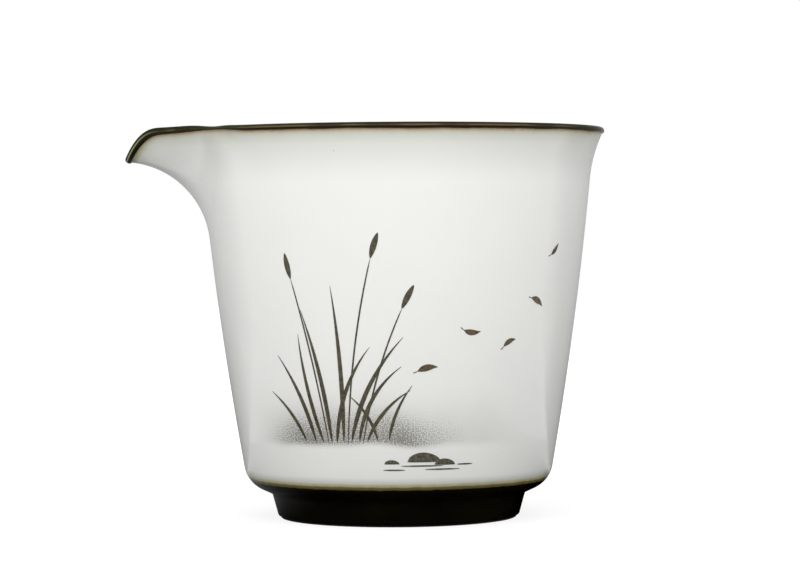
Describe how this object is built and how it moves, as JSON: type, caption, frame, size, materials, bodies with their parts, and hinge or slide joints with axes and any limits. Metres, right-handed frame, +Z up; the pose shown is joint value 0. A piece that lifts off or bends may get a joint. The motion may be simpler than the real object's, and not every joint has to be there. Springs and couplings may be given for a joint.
{
  "type": "tea pitcher",
  "caption": "Handleless ceramic tea pitcher: a flared white glazed bowl with a dark glazed lip and foot, and a beak pulled out of the rim to pour from.",
  "frame": {"origin": "centre of the footprint, beak included, on the table that the foot ring stands on", "axes": "+Z up, -X towards the beak's tip, so +X points away from the beak; the bowl's own axis stands 6.5 mm from the origin on the +X side"},
  "size_m": [0.0986, 0.0856, 0.0803],
  "materials": {
    "bare_clay": "unglazed brown stoneware, dry and slightly gritty",
    "dark_glaze": "glossy brown-black iron glaze",
    "white_glaze": "glossy opaque white glaze with a few pinholes",
    "olive_glaze": "glossy translucent olive where white thins over dark"
  },
  "bodies": {
    "root": {"clay_body": "bare_clay", "foot_ring": "bare_clay", "inner_glaze": "dark_glaze", "rim_glaze": "dark_glaze", "white_glaze": "white_glaze", "overlap_line": "olive_glaze", "foot_glaze": "dark_glaze", "base_glaze": "dark_glaze"}
  },
  "joints": []
}
